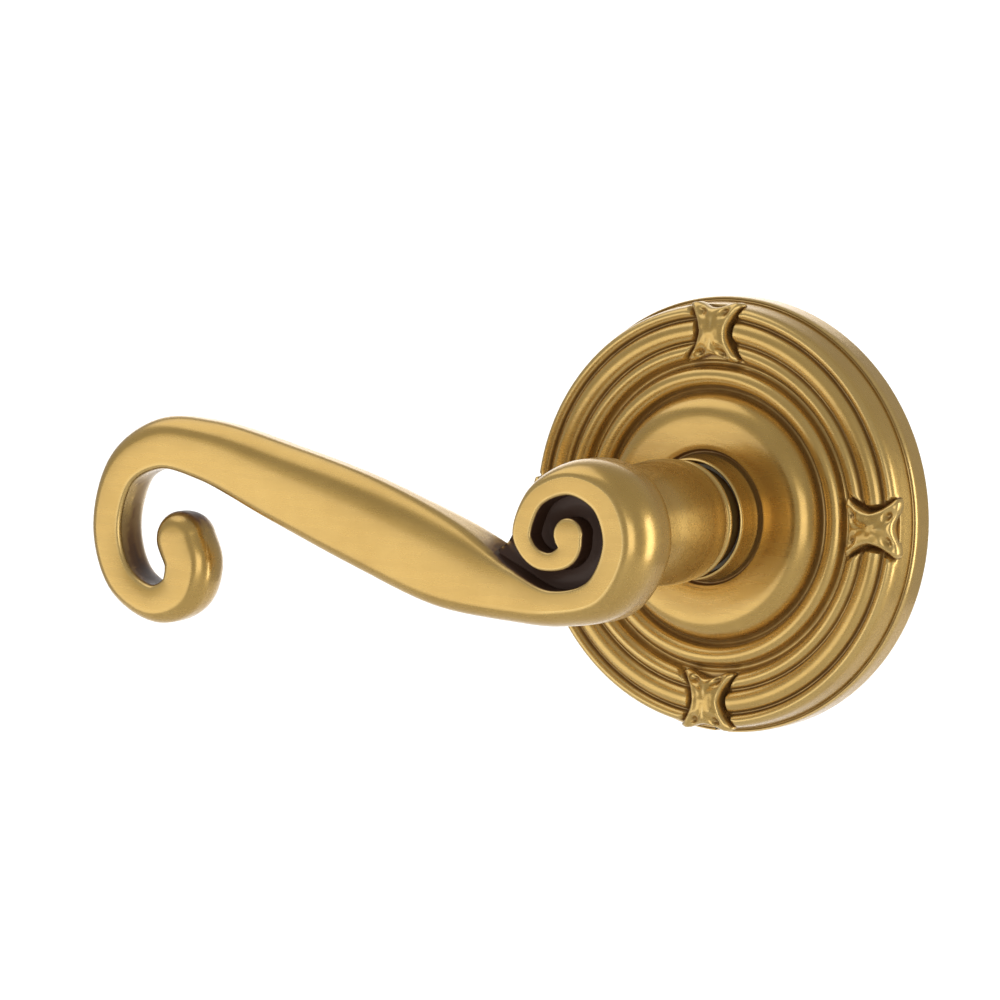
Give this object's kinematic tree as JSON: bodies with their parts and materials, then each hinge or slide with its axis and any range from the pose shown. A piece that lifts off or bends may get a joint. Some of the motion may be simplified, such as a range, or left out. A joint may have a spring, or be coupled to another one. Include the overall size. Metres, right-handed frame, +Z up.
{
  "type": "door lever handle",
  "caption": "Scroll-shaped door lever on a round ribbon-and-reed rosette, with a sprung square spindle and through-bolts for one side of a door.",
  "frame": {"origin": "on the spindle's axis at the door's face, which is the back of the rosette", "axes": "+Y along the spindle into the door, +Z up, +X away from the lever's arm, so the arm points along -X"},
  "size_m": [0.1227, 0.0885, 0.0666],
  "materials": {
    "antique_brass": "satin antique brass with dark patina in the recesses",
    "zinc_plate": "zinc-plated steel",
    "spring_steel": "oiled spring steel",
    "black_steel": "black oxide",
    "nylon": "natural nylon"
  },
  "bodies": {
    "base": {"rosette": "antique_brass", "rosette_set_screw": "black_steel", "neck_bushing": "nylon", "spring_cage": "zinc_plate", "cage_screw_1": "zinc_plate", "cage_screw_2": "zinc_plate", "stop_pin_1": "zinc_plate", "stop_pin_2": "zinc_plate", "return_spring": "spring_steel", "mounting_plate": "zinc_plate", "through_bolt_top": "zinc_plate", "through_bolt_bottom": "zinc_plate", "lock_washer_top": "spring_steel", "lock_washer_bottom": "spring_steel"},
    "lever": {"lever_scroll": "antique_brass", "lever_neck": "antique_brass", "neck_set_screw": "black_steel", "spindle": "zinc_plate", "drive_cam": "zinc_plate", "thrust_washer": "nylon", "retaining_ring": "spring_steel"}
  },
  "joints": [
    {"name": "lever_turn", "type": "hinge", "parent": "base", "child": "lever", "pos_m": [0, 0, 0], "axis": [0, -1, 0], "range_deg": [0, 45], "stiffness_Nm_per_rad": 0.6, "springref_deg": -28.65, "deforming": ["return_spring"]}
  ]
}
